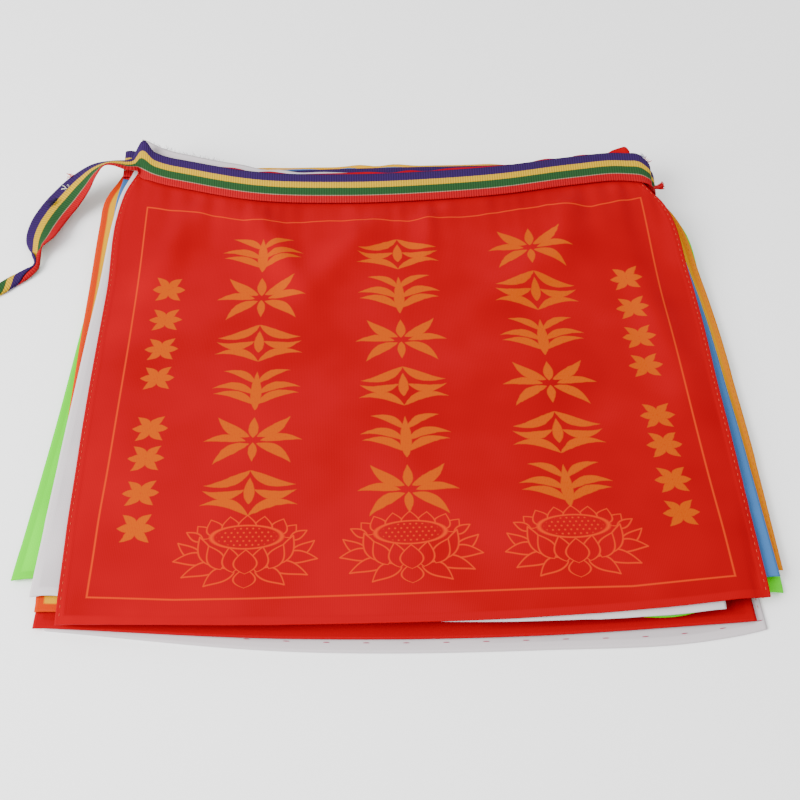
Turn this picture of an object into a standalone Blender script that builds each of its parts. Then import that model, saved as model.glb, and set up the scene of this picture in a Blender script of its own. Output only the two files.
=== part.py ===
"""A string of satin prayer flags, sewn along one striped tape and folded zigzag into a flat stack.

The frame: +X runs along the tape, +Y from the flags' foot edges to the tape, +Z up.
The origin lies on the surface that the lowest flag rests on. Sizes below are millimetres.
"""

from collections import namedtuple
from math import cos, radians, sin

import bmesh
import bpy
import numpy as np
from mathutils import Vector

MM = 0.001

# Cloth and tape
CLOTH = 1.0
GAP = 0.3
PITCH = CLOTH + GAP
TAPE_WIDTH = 18.0

# The heading is a stack of tape and cloth, so it stands higher than the body of the stack
RAMP = 85.0
FAN = 4.0
HEADING_LEVELS = 13

# A cloth's edge that reaches past the layers below it bends down with this curvature
DROOP = 0.02
DROOP_REACH = 36.0
SUPPORT_MARGIN = 5.0
FIELD_STEP = 2.0
FIELD_HALF = (184.0, 192.0)

# The lower edge of the top tape: it sags between its ends
TAPE_X = (-150.0, -137.0, -128.0, -105.0, -75.0, -28.0, 20.0, 55.0, 95.0, 120.0, 140.0)
TAPE_Y = (139.5, 137.0, 131.5, 123.0, 114.5, 110.4, 111.5, 114.5, 121.0, 123.5, 119.5)

# The places where a table gives a flag's side edges (y), its foot edge (x) and a heading's reach (x)
SIDE_Y = (-120.0, -20.0, 60.0, 108.0, 125.0, 150.0)
FOOT_X = (-145.0, -50.0, 50.0, 112.0, 128.0, 145.0)
HEADING_X = (-140.0, -20.0, 130.0)

Flag = namedtuple("Flag", "name colour heading body left right foot head_over grid")
FINE, PLAIN, LOW = "fine", "plain", "low"
RED, WHITE, BLUE = (0.72, 0.03, 0.02), (0.74, 0.75, 0.80), (0.14, 0.36, 0.62)
YELLOW, GREEN = (0.93, 0.55, 0.06), (0.30, 0.66, 0.12)

# One row a flag, from the top of the stack down. heading and body count the layers under it
FLAGS = (
    Flag("flag_01_red", RED, 12, 6,
         (-139.5, -142.8, -143.5, -143.6, -141.0, -131.5),
         (141.0, 143.3, 144.5, 138.8, 130.2, 126.0),
         (-122.5, -126.5, -126.5, -123.0, -121.4, -119.6), (1.2, 2.5, 1.5), FINE),
    Flag("flag_02_white", WHITE, 11, 5,
         (-152.0, -150.2, -148.2, -145.7, -143.6, -136.0),
         (122.6, 139.5, 143.0, 139.5, 131.6, 127.2),
         (-109.5, -122.0, -127.4, -125.3, -123.6, -121.5), (9.5, 4.0, 2.0), PLAIN),
    Flag("flag_03_blue", BLUE, 8, 4,
         (-138.0, -144.0, -145.5, -146.6, -146.6, -144.0),
         (147.5, 148.3, 146.6, 139.4, 133.5, 131.0),
         (-112.0, -118.0, -118.0, -113.4, -111.8, -110.2), (4.0, 13.0, 2.0), PLAIN),
    Flag("flag_04_yellow", YELLOW, 7, 3,
         (-149.5, -151.2, -153.6, -153.8, -153.4, -144.0),
         (149.8, 153.2, 151.9, 144.2, 134.5, 131.5),
         (-115.0, -120.0, -119.0, -112.0, -109.3, -106.3), (5.0, 17.0, 3.0), PLAIN),
    Flag("flag_05_green", GREEN, 4, 2,
         (-163.5, -156.5, -153.0, -150.5, -149.5, -146.0),
         (148.4, 153.6, 152.6, 146.4, 134.0, 131.0),
         (-99.5, -113.0, -117.5, -123.8, -117.0, -115.6), (4.0, 14.0, 3.0), PLAIN),
    Flag("flag_06_red", RED, 3, 1,
         (-149.5, -148.0, -147.0, -146.5, -145.3, -143.0),
         (134.8, 138.0, 141.0, 140.0, 135.0, 132.0),
         (-121.5, -129.3, -131.3, -129.0, -128.3, -127.3), (4.0, 16.0, 15.0), PLAIN),
    Flag("flag_07_white", WHITE, 0, 0,
         (-145.0, -146.0, -146.0, -145.0, -144.0, -142.0),
         (138.5, 140.0, 141.0, 139.5, 137.0, 133.0),
         (-122.0, -134.0, -136.8, -135.4, -133.2, -129.5), (6.0, 15.0, 5.0), LOW),
)

# A flag's grid: its columns from 0 to 1 across it, its lower rows from 0 at the foot to 1 at the
# ramp, and its upper rows by their distance from the tape's lower edge
ACROSS = {
    FINE: (0, .018, .036, .08, .12, .15, .18, .215, .25, .285, .32, .355, .39, .425, .46, .495,
           .53, .565, .6, .64, .67, .705, .74, .77, .8, .83, .86, .89, .92, .96, .982, 1),
    PLAIN: (0, .018, .036, .055, .08, .12, .18, .25, .32, .39, .46, .53, .6, .67, .74, .8,
            .86, .92, .96, .982, 1),
    LOW: (0, .03, .12, .25, .39, .53, .67, .8, .92, .97, 1),
}
LOWER_ROWS = {
    FINE: (0, .05, .11, .18, .26, .38, .5, .62, .74, .87),
    PLAIN: (0, .05, .11, .18, .26, .5),
    LOW: (0, .04, .4),
}
UPPER_ROWS = {
    FINE: (-RAMP, -75, -66, -58, -50, -43, -36, -30, -24, -18, -12, -6, 0, 9),
    PLAIN: (-RAMP, -66, -50, -36, -24, -12, 0),
    LOW: (-RAMP, 0),
}

# The soft ridges of the top flag: middle, half length and half width, direction and height
Crease = namedtuple("Crease", "x y long wide turn high")
CREASES = (
    Crease(-58.0, 76.0, 34.0, 8.0, -66.0, 1.6),
    Crease(-27.0, 76.0, 34.0, 8.0, 52.0, 1.6),
    Crease(62.0, 60.0, 46.0, 10.0, 38.0, 1.3),
    Crease(122.0, 40.0, 60.0, 9.0, -82.0, 1.2),
    Crease(-112.0, 84.0, 40.0, 9.0, 70.0, 1.2),
    Crease(16.0, 92.0, 22.0, 7.0, 84.0, 1.2),
    Crease(88.0, 100.0, 20.0, 7.0, 80.0, 1.2),
    Crease(-90.0, -70.0, 70.0, 16.0, 8.0, 0.9),
    Crease(70.0, -84.0, 60.0, 16.0, -6.0, 0.9),
)
CREASE_CLEARANCE = 0.15

# The runs of the tape, from the top down: levels under it, its left and right turns, its shift
Run = namedtuple("Run", "level left right shift")
RUNS = (
    Run(13, -135.0, 131.5, (0.0, 0.0, 0.0)),
    Run(10, -144.0, 131.5, (1.5, 2.5, 1.0)),
    Run(9, -144.0, 134.5, (1.5, 11.0, 1.5)),
    Run(6, -141.0, 134.5, (0.5, 12.0, 1.0)),
    Run(5, -141.0, 135.5, (0.5, 11.0, 2.0)),
    Run(2, -139.0, 134.0, (1.0, 13.0, 1.5)),
    Run(1, -139.0, 141.0, (1.0, 12.0, 0.5)),
)
# The right turns dip towards the foot and down, and the top run's left end curls its blue edge up
TURN_STEPS = 6
RIGHT_TURN_STRETCH = 2.2
RED_DIP, BLUE_DIP = (1.5, 0.2), (6.0, 1.2)
LEFT_END, LEFT_LIFT = 16.0, 3.5
TIE_CLEARANCE = 0.02

# The loose tie, from its cut end to the heading: its middle, how far it rolls over from lying
# face up with its blue edge to the left, and its width and thickness where it is rolled or bunched
Tie = namedtuple("Tie", "x y z roll wide thick")
TIE = (
    Tie(-221.0, 56.0, 1.3, 0.0, 8.0, 2.4),
    Tie(-213.5, 61.0, 1.3, 0.0, 8.0, 2.4),
    Tie(-206.5, 65.2, 1.3, 0.0, 8.0, 2.4),
    Tie(-199.6, 69.5, 1.3, 0.0, 8.0, 2.4),
    Tie(-195.0, 74.1, 1.3, 0.0, 8.0, 2.4),
    Tie(-190.2, 78.1, 1.4, 0.0, 7.5, 2.4),
    Tie(-186.6, 81.2, 1.8, 0.0, 6.0, 2.8),
    Tie(-184.2, 83.9, 2.2, -4.0, 4.0, 2.6),
    Tie(-183.8, 87.3, 2.7, -10.0, 3.0, 2.4),
    Tie(-184.5, 91.1, 3.4, -20.0, 5.2, 2.4),
    Tie(-184.7, 95.4, 4.4, -30.0, 11.0, 2.0),
    Tie(-184.4, 101.6, 4.9, -16.0, 16.0, 1.2),
    Tie(-182.9, 111.9, 5.3, -4.0, 18.0, 1.0),
    Tie(-179.5, 122.2, 5.9, 2.0, 18.0, 1.0),
    Tie(-173.9, 130.8, 8.2, 2.0, 18.0, 1.0),
    Tie(-167.0, 138.2, 12.1, -6.0, 18.0, 1.0),
    Tie(-159.3, 143.2, 16.7, -18.0, 17.0, 1.0),
    Tie(-151.5, 144.6, 19.8, -30.0, 13.0, 1.4),
    Tie(-146.0, 143.4, 20.4, -24.0, 10.5, 1.8),
    Tie(-141.0, 142.3, 20.2, -8.0, 10.5, 1.7),
    Tie(-137.2, 143.4, 20.0, 0.0, 12.5, 1.4),
)


def smooth(places, values, at):
    """The height at a place of the smooth curve through a table's values."""
    places, values = np.array(places, float), np.array(values, float)
    slopes = np.gradient(values, places)
    at = np.clip(at, places[0], places[-1])
    k = np.clip(np.searchsorted(places, at) - 1, 0, len(places) - 2)
    width = places[k + 1] - places[k]
    t = (at - places[k]) / width
    return (
        values[k] * (1 + 2 * t) * (1 - t) ** 2
        + values[k + 1] * t * t * (3 - 2 * t)
        + width * (slopes[k] * t * (1 - t) ** 2 - slopes[k + 1] * t * t * (1 - t))
    )


def tape_edge(x):
    """The lower edge of the top run of tape."""
    return smooth(TAPE_X, TAPE_Y, x)


def resting_height(heading, body, x, y):
    """The underside of a layer with this many layers under it in the heading and in the body."""
    away = np.clip((tape_edge(x) - y) / RAMP, 0, 1)
    held = 1 - away * away * (3 - 2 * away)
    fan = np.clip((y - tape_edge(x)) / TAPE_WIDTH, 0, 2.0) * FAN * heading / HEADING_LEVELS
    return PITCH * (body + (heading - body) * held) + fan


def head_edge(flag, x):
    """The head edge of a flag, which lies under its tape."""
    return tape_edge(x) + TAPE_WIDTH + smooth(HEADING_X, flag.head_over, x)


def covers(flag, x, y, margin):
    """Where a flag covers the plan."""
    left = smooth(SIDE_Y, flag.left, y) - margin
    right = smooth(SIDE_Y, flag.right, y) + margin
    foot = smooth(FOOT_X, flag.foot, x) - margin
    return (x > left) & (x < right) & (y > foot) & (y < head_edge(flag, x) + margin)


def bent_down(field):
    """A height field with each of its steps turned into a cloth's soft bend."""
    reach = int(DROOP_REACH / FIELD_STEP)
    for axis in (0, 1):
        spread = field.copy()
        for k in range(1, reach + 1):
            fall = DROOP * (k * FIELD_STEP) ** 2
            near, far = [slice(None)] * 2, [slice(None)] * 2
            near[axis], far[axis] = slice(k, None), slice(None, -k)
            near, far = tuple(near), tuple(far)
            spread[near] = np.maximum(spread[near], field[far] - fall)
            spread[far] = np.maximum(spread[far], field[near] - fall)
        field = spread
    return field


def lay_down(flags):
    """The height of each flag's underside over the plan, laid from the lowest flag up."""
    xs = np.arange(-FIELD_HALF[0], FIELD_HALF[0] + 1, FIELD_STEP)
    ys = np.arange(-FIELD_HALF[1], FIELD_HALF[1] + 1, FIELD_STEP)
    x, y = np.meshgrid(xs, ys, indexing="ij")
    laid, fields = [], {}
    for flag in reversed(flags):
        ideal = resting_height(flag.heading, flag.body, x, y)
        support = np.zeros_like(x)
        for depth, (below, under) in enumerate(reversed(laid)):
            step = PITCH
            if depth == 0:
                step = ideal - resting_height(below.heading, below.body, x, y)
            inside = covers(below, x, y, SUPPORT_MARGIN)
            support = np.where(inside, np.maximum(support, under + step), support)
        height = ideal + bent_down(support - ideal)
        laid.append((flag, height))
        fields[flag.name] = height
    return xs, ys, fields


def read_field(xs, ys, field, x, y):
    """The height at a place, between the four nearest places of the field."""
    fx = np.clip((x - xs[0]) / FIELD_STEP, 0, len(xs) - 1.001)
    fy = np.clip((y - ys[0]) / FIELD_STEP, 0, len(ys) - 1.001)
    i, j = fx.astype(int), fy.astype(int)
    a, b = fx - i, fy - j
    return (
        field[i, j] * (1 - a) * (1 - b)
        + field[i + 1, j] * a * (1 - b)
        + field[i, j + 1] * (1 - a) * b
        + field[i + 1, j + 1] * a * b
    )


def creased(x, y):
    """The height that the top flag's ridges add."""
    added = np.full_like(x, CREASE_CLEARANCE)
    for c in CREASES:
        turn = radians(c.turn)
        along = (x - c.x) * cos(turn) + (y - c.y) * sin(turn)
        across = (y - c.y) * cos(turn) - (x - c.x) * sin(turn)
        added += c.high * np.exp(-((along / c.long) ** 2) - (across / c.wide) ** 2)
    free = np.clip((tape_edge(x) - y) / 12.0, 0, 1)
    return CREASE_CLEARANCE + (added - CREASE_CLEARANCE) * free


def plan(flag):
    """The places of a flag's grid points over the plan."""
    lower, upper = np.array(LOWER_ROWS[flag.grid]), np.array(UPPER_ROWS[flag.grid])
    across = np.array(ACROSS[flag.grid])[:, None]
    rows = len(lower) + len(upper) + 1
    x = np.repeat(np.interp(across, (0, 1), (FOOT_X[0], FOOT_X[-1])), rows, axis=1)
    for _ in range(4):
        foot, tape = smooth(FOOT_X, flag.foot, x), tape_edge(x)
        y = np.hstack((
            foot[:, : len(lower)] * (1 - lower) + (tape[:, : len(lower)] - RAMP) * lower,
            tape[:, len(lower) : -1] + upper,
            head_edge(flag, x[:, -1:]),
        ))
        x = smooth(SIDE_Y, flag.left, y) * (1 - across) + smooth(SIDE_Y, flag.right, y) * across
    return x, y


def material(name, colour, roughness):
    """A plain finish in one colour."""
    made = bpy.data.materials.new(name)
    made.use_nodes = True
    shader = made.node_tree.nodes["Principled BSDF"]
    shader.inputs["Base Color"].default_value = (*colour, 1.0)
    shader.inputs["Roughness"].default_value = roughness
    shader.inputs["Metallic"].default_value = 0.0
    return made


def add_object(name, mesh, finish, collection):
    """A mesh as a named object with its finish."""
    mesh.shade_smooth()
    mesh.set_sharp_from_angle(angle=radians(40))
    made = bpy.data.objects.new(name, mesh)
    made.data.materials.append(finish)
    collection.objects.link(made)
    return made


def sheet_mesh(name, x, y, z):
    """A grid laid on the given heights, and given a cloth's thickness upwards."""
    rows, columns = x.shape
    bm = bmesh.new()
    bmesh.ops.create_grid(bm, x_segments=rows - 1, y_segments=columns - 1, size=0.5)
    for vert in bm.verts:
        i = round((vert.co.x + 0.5) * (rows - 1))
        j = round((vert.co.y + 0.5) * (columns - 1))
        vert.co = Vector((x[i, j], y[i, j], z[i, j])) * MM
    grown = bmesh.ops.extrude_face_region(bm, geom=bm.faces[:], use_keep_orig=True)
    raised = [g for g in grown["geom"] if isinstance(g, bmesh.types.BMVert)]
    bmesh.ops.translate(bm, vec=(0, 0, CLOTH * MM), verts=raised)
    bmesh.ops.recalc_face_normals(bm, faces=bm.faces[:])
    mesh = bpy.data.meshes.new(name)
    bm.to_mesh(mesh)
    bm.free()
    return mesh


def make_flags(collection):
    """The flags, each one sheet of satin with its hems."""
    xs, ys, fields = lay_down(FLAGS)
    for flag in FLAGS:
        x, y = plan(flag)
        z = read_field(xs, ys, fields[flag.name], x, y)
        if flag.grid == FINE:
            z = z + creased(x, y)
        satin = material("satin_" + flag.name, flag.colour, 0.45)
        add_object(flag.name, sheet_mesh(flag.name, x, y, z), satin, collection)


Section = namedtuple("Section", "red blue face thick")


def run_section(run, x, up):
    """The tape's two edges at one place along a run, and the way its face looks."""
    edges = []
    for across in (0.0, TAPE_WIDTH):
        y = tape_edge(x) + smooth(HEADING_X, run.shift, x) + across
        z = resting_height(run.level, run.level, x, y) + CLOTH / 2
        if run.level == HEADING_LEVELS:
            curl = np.clip((run.left + LEFT_END - x) / LEFT_END, 0, 1) ** 2
            z = z + 2 * CREASE_CLEARANCE + LEFT_LIFT * curl * across / TAPE_WIDTH
        edges.append(Vector((x, y, float(z))))
    return Section(*edges, Vector((0, 0, up)), CLOTH)


def turn_sections(upper, lower, x, side):
    """A half turn between two runs, to the right for a side of 1 and to the left for -1."""
    high, low = run_section(upper, x, side), run_section(lower, x, side)
    stretch = RIGHT_TURN_STRETCH if side > 0 else 1.0
    sections = []
    for k in range(1, TURN_STEPS):
        angle = radians(90 - 180 * k / TURN_STEPS)
        out = Vector((side * cos(angle), 0, sin(angle)))
        face = Vector((out.x / stretch, 0, out.z)).normalized() * side
        edges = []
        for top, under, dip in ((high.red, low.red, RED_DIP), (high.blue, low.blue, BLUE_DIP)):
            radius = (top.z - under.z) / 2
            swing = Vector((out.x * radius * stretch, (top.y - under.y) / 2 * out.z, out.z * radius))
            drop = Vector((0, *dip)) * max(0.0, out.x)
            edges.append((top + under) / 2 + swing - drop)
        sections.append(Section(*edges, face, CLOTH))
    return sections


def tie_sections():
    """The loose tie's sections, from its cut end to the heading."""
    middles = [Vector((t.x, t.y, t.z)) for t in TIE]
    sections = []
    for k, tie in enumerate(TIE):
        ahead = (middles[min(k + 1, len(TIE) - 1)] - middles[max(k - 1, 0)]).normalized()
        level = Vector((0, 0, 1)).cross(ahead).normalized()
        roll = radians(tie.roll)
        across = level * cos(roll) + ahead.cross(level) * sin(roll)
        face = ahead.cross(across)
        half = across * (tie.wide / 2)
        lowest = tie.z - abs(half.z) - abs(face.z) * tie.thick / 2
        middle = middles[k] + Vector((0, 0, max(0.0, TIE_CLEARANCE - lowest)))
        sections.append(Section(middle - half, middle + half, face, tie.thick))
    return sections


def tape_sections():
    """Every section of the one tape, from the tie's cut end to the end under the stack."""
    sections = tie_sections()
    for k, run in enumerate(RUNS):
        rightward = k % 2 == 0
        up = 1 if rightward else -1
        stations = run.left + (run.right - run.left) * np.array(ACROSS[PLAIN])
        for x in stations if rightward else stations[::-1]:
            sections.append(run_section(run, float(x), up))
        if k + 1 < len(RUNS):
            side = 1 if rightward else -1
            turn_at = run.right if rightward else run.left
            sections += turn_sections(run, RUNS[k + 1], turn_at, side)
    return sections


def band_mesh(name, sections):
    """A band lofted through its sections, each with a red and a blue edge."""
    bm = bmesh.new()
    rings = []
    for section in sections:
        half = section.face * (section.thick / 2)
        corners = (section.red + half, section.blue + half,
                   section.blue - half, section.red - half)
        rings.append([bm.verts.new(corner * MM) for corner in corners])
    for here, after in zip(rings, rings[1:]):
        for k in range(4):
            bm.faces.new((here[k], here[(k + 1) % 4], after[(k + 1) % 4], after[k]))
    bm.faces.new(rings[0])
    bm.faces.new(rings[-1])
    bmesh.ops.recalc_face_normals(bm, faces=bm.faces[:])
    mesh = bpy.data.meshes.new(name)
    bm.to_mesh(mesh)
    bm.free()
    return mesh


def make_tape(collection):
    """The striped tape, one length from the loose tie to its last run."""
    weave = material("striped_tape", (0.30, 0.22, 0.32), 0.75)
    add_object("heading_tape", band_mesh("heading_tape", tape_sections()), weave, collection)


def main():
    for old in list(bpy.data.objects):
        bpy.data.objects.remove(old)
    collection = bpy.data.collections.new("prayer_flags")
    bpy.context.scene.collection.children.link(collection)
    make_flags(collection)
    make_tape(collection)


main()
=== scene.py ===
"""A folded string of satin prayer flags: cloth, print, stitches, striped tape, floor and light."""

from collections import namedtuple
from math import cos, pi, radians, sin

import bpy
import numpy as np
from bpy.props import FloatProperty, FloatVectorProperty, IntProperty, PointerProperty
from mathutils import Matrix, Vector


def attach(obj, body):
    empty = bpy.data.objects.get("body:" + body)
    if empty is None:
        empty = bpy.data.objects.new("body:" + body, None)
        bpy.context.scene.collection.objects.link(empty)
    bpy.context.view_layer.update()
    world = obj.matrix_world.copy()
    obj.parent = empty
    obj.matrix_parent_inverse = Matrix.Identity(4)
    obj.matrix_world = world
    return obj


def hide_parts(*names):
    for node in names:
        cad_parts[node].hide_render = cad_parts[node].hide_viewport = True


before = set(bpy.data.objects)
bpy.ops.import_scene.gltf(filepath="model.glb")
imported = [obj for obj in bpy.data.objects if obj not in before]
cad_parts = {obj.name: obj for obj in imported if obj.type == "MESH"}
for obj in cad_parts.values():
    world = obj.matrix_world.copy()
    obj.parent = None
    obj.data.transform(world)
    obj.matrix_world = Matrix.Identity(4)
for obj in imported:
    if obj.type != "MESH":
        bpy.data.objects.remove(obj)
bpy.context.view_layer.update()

bl_info = {
    "name": "Folded prayer flags",
    "version": (1, 0, 0),
    "blender": (4, 5, 0),
    "location": "3D View > Sidebar > Prayer flags",
    "description": "Dresses a folded string of satin prayer flags and sets its stage",
    "category": "Object",
}

MM = 0.001
BODY = "root"

# The stack as it is laid: sizes in millimetres
CLOTH = 1.0
PITCH = 1.3
TAPE_WIDTH = 18.0
RAMP = 85.0
FAN = 4.0
HEADING_LEVELS = 13
DROOP = 0.02
DROOP_REACH = 36.0
SUPPORT_MARGIN = 5.0
FIELD_STEP = 2.0
FIELD_HALF = (184.0, 192.0)
CREASE_CLEARANCE = 0.15
CREASE_FADE = 12.0
TURN_STEPS = 6
RIGHT_TURN_STRETCH = 2.2
RED_DIP, BLUE_DIP = (1.5, 0.2), (6.0, 1.2)
LEFT_END, LEFT_LIFT = 16.0, 3.5
TIE_CLEARANCE = 0.02

# The visible cloth: thickness, hems, stitches, finishes, weave and print
SATIN = 0.4
WEBBING = 0.6
HEM_WIDTH, HEM_STEP, HEM_SOFT = 3.4, 0.12, 0.6
STITCH_INSET, STITCH_DRAW, STITCH_WIDE = 1.5, 0.08, 0.5
FOOT_STITCH_INSET = 4.2
THREAD_LIFT, HEM_THREAD, FOOT_THREAD = 0.30, 0.22, 0.36
HEM_SEWN, FOOT_SEWN = slice(6, -12), slice(2, -2)
GOLD_THREAD, ROSE_THREAD = (0.46, 0.06, 0.03, 1.0), (0.30, 0.02, 0.06, 1.0)
SHEET_SPAN = 320.0
SATIN_ROUGHNESS, SATIN_GLOSS = 0.4, 0.014
GLOSS_WHITE, GLOSS_COLOUR = 0.1, 0.9
TAPE_ROUGHNESS, TAPE_GLOSS = 0.8, 0.1
PLAIN_ROUGHNESS, PLAIN_GLOSS = 0.8, 0.1
DEEP_TONE, RED_HEM, DARK_HEM = 0.80, 0.95, 0.8
TONE_SCALE, TONE_RANGE = 0.02, (0.35, 0.75)
HEM_BLUR, HEM_BLEND = 0.4, 60.0
RELIEF = 1.75
WEAVE_PITCH, WEAVE_HEIGHT = 0.7, 0.3
GRAIN_ACROSS, GRAIN_UP = 0.35, 1.6
RIB_PITCH, RIB_NOISE, RIB_NOISE_SCALE = 1.3, 1.5, 0.8
RIB_SHADE = (-0.4, 1.2, 0.72, 1.08)
STRIPE_WOBBLE, STRIPE_SCALE, STRIPE_BLUR = 0.02, 1.1, 0.008
SATIN_BUMP, TAPE_BUMP = (0.22, 0.12), (0.5, 0.2)
RUN_STATIONS, TAPE_STEP, TAPE_COLUMNS = 36, 1.6, 17
LEAST_GAP, NUDGE = 0.05, 1e-6
TUBE_SHARE, TUBE_WIDE = 0.96, 0.46
PLEATS, PLEAT_SHARE = 3, 0.6
TAPE_SPAN = 2400.0
PRINT_COLOUR = (0.38, 0.056, 0.0, 1.0)
LINE_COLOUR = (0.50, 0.032, 0.0, 1.0)
INK_EDGE = 0.22
INK_WOBBLE, INK_SCALE = 0.7, 0.35
WORN_SCALE, WORN, LINE_COVER = 0.9, (0.25, 0.5, 0.78, 0.95), 0.9
FRAME_LINE = 0.7
PETAL_LINE = 0.62
ORNAMENT_SCALE = 1.1
SEED_HEAD = (6.5, 14.4, 5.4)
SEED_STEP = (2.5, 1.9)
SEED_DOT, SEED_RIM = 0.36, 0.9
Grid = namedtuple("Grid", "hem_step plain_step hem_columns softenings")
FINE_GRID, PLAIN_GRID = Grid(0.55, 1.55, 14, 6), Grid(1.1, 3.6, 6, 1)
GRID_WIDE, GRID_DEEP, PLAN_PASSES = 284.0, 246.0, 5
SHAPES = {}

# The photo's camera, found from the printed frame
CAMERA_FOCAL, PHOTO_SIDE, SENSOR = 1100.0, 800, 36.0
CAMERA_PLACE = (-0.01343, -0.33309, 0.38979)
CAMERA_DOWN, CAMERA_YAW, CAMERA_ROLL = 0.87621, -0.036467, 0.00196

# The studio, in metres
FLOOR_HALF, FLOOR_COLOUR, SKY_LIGHT = 3.0, (0.95, 0.95, 0.95, 1.0), 1.5
KEY_PLACE, KEY_SIZE = (-0.92, -0.42, 0.72), 0.9

# Where a table gives the top tape's lower edge, a flag's side edges (y), its foot (x), a heading
TAPE_X = (-150.0, -137.0, -128.0, -105.0, -75.0, -28.0, 20.0, 55.0, 95.0, 120.0, 140.0)
TAPE_Y = (139.5, 137.0, 131.5, 123.0, 114.5, 110.4, 111.5, 114.5, 121.0, 123.5, 119.5)
SIDE_Y = (-120.0, -20.0, 60.0, 108.0, 125.0, 150.0)
FOOT_X = (-145.0, -50.0, 50.0, 112.0, 128.0, 145.0)
HEADING_X = (-140.0, -20.0, 130.0)

# The printed lines: the gathers under the tape pull the upper one out of true
LINE_X = (-128.0, -110.0, -74.6, -56.6, -33.7, 6.7, 43.4, 78.8, 102.0, 128.0)
LINE_Y = (112.9, 108.0, 99.8, 97.5, 98.6, 96.8, 100.4, 107.0, 105.4, 111.2)
LOWER_LINE_X = (-128.0, -94.0, -64.0, -4.0, 54.0, 87.0, 128.0)
LOWER_LINE_Y = (-112.2, -114.5, -114.9, -114.9, -114.4, -114.7, -111.5)
PRINT_TOP, PRINT_FOOT, PRINT_SIDE = 106.0, -114.6, 128.3
PRINT_SLACK_FROM = 58.0

# One row a flag, from the top of the stack down. heading and body count the layers under it
Flag = namedtuple("Flag", "name heading body left right foot head_over")
FLAGS = (
    Flag("flag_01_red", 12, 6,
         (-139.5, -142.8, -143.5, -143.6, -141.0, -131.5),
         (141.0, 143.3, 144.5, 138.8, 130.2, 126.0),
         (-122.5, -126.5, -126.5, -123.0, -121.4, -119.6), (1.2, 2.5, 1.5)),
    Flag("flag_02_white", 11, 5,
         (-152.0, -150.2, -148.2, -145.7, -143.6, -136.0),
         (122.6, 139.5, 143.0, 139.5, 131.6, 127.2),
         (-109.5, -122.0, -127.4, -125.3, -123.6, -121.5), (9.5, 4.0, 2.0)),
    Flag("flag_03_blue", 8, 4,
         (-138.0, -144.0, -145.5, -146.6, -146.6, -144.0),
         (147.5, 148.3, 146.6, 139.4, 133.5, 131.0),
         (-112.0, -118.0, -118.0, -113.4, -111.8, -110.2), (4.0, 13.0, 2.0)),
    Flag("flag_04_yellow", 7, 3,
         (-149.5, -151.2, -153.6, -153.8, -153.4, -144.0),
         (149.8, 153.2, 151.9, 144.2, 134.5, 131.5),
         (-115.0, -120.0, -119.0, -112.0, -109.3, -106.3), (5.0, 17.0, 3.0)),
    Flag("flag_05_green", 4, 2,
         (-163.5, -156.5, -153.0, -150.5, -149.5, -146.0),
         (148.4, 153.6, 152.6, 146.4, 134.0, 131.0),
         (-99.5, -113.0, -117.5, -123.8, -117.0, -115.6), (4.0, 14.0, 3.0)),
    Flag("flag_06_red", 3, 1,
         (-149.5, -148.0, -147.0, -146.5, -145.3, -143.0),
         (134.8, 138.0, 141.0, 140.0, 135.0, 132.0),
         (-121.5, -129.3, -131.3, -129.0, -128.3, -127.3), (4.0, 16.0, 15.0)),
    Flag("flag_07_white", 0, 0,
         (-145.0, -146.0, -146.0, -145.0, -144.0, -142.0),
         (138.5, 140.0, 141.0, 139.5, 137.0, 133.0),
         (-122.0, -134.0, -136.8, -135.4, -133.2, -129.5), (6.0, 15.0, 5.0)),
)
TOP, LOWEST = FLAGS[0], FLAGS[-1]
STITCHED = (TOP, FLAGS[3], LOWEST)

# The soft ridges of the top flag: middle, half length and half width, direction and height
Crease = namedtuple("Crease", "x y long wide turn high")
CREASES = (
    Crease(-58.0, 76.0, 34.0, 8.0, -66.0, 1.6),
    Crease(-27.0, 76.0, 34.0, 8.0, 52.0, 1.6),
    Crease(62.0, 60.0, 46.0, 10.0, 38.0, 1.3),
    Crease(122.0, 40.0, 60.0, 9.0, -82.0, 1.2),
    Crease(-112.0, 84.0, 40.0, 9.0, 70.0, 1.2),
    Crease(16.0, 92.0, 22.0, 7.0, 84.0, 1.2),
    Crease(88.0, 100.0, 20.0, 7.0, 80.0, 1.2),
    Crease(-90.0, -70.0, 70.0, 16.0, 8.0, 0.9),
    Crease(70.0, -84.0, 60.0, 16.0, -6.0, 0.9),
)

# The upright folds under the tape: height, pace, how their places sway, and their lean
Gather = namedtuple("Gather", "high pace sway drift phase lean")
GATHERS = (
    Gather(0.42, 2.3, 1.7, 17.0, 0.0, 0.0),
    Gather(0.30, 4.1, 1.3, 29.0, 1.0, 0.025),
    Gather(0.22, 1.37, 2.1, 11.0, 0.0, 0.0),
)
GATHER_REACH, GATHER_BAND = 17.0, (-2.0, 5.0)
GATHER_LEAST, GATHER_MORE, GATHER_PACE, GATHER_PHASE = 0.45, 0.55, 33.0, 0.6
SWELL, SWELL_BAND = 0.22, (5.0, 40.0)

# The head edges wave a little, and the top flag's rises behind the tape in one small fold
HEAD_WAVE, HEAD_PACE, HEAD_SWAY, HEAD_DRIFT, HEAD_REACH = 0.7, 5.3, 1.9, 13.0, 14.0
Fold = namedtuple("Fold", "x wide out high least more")
FOLD = Fold(121.0, 6.0, 5.0, 2.4, 0.6, 0.4)

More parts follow.
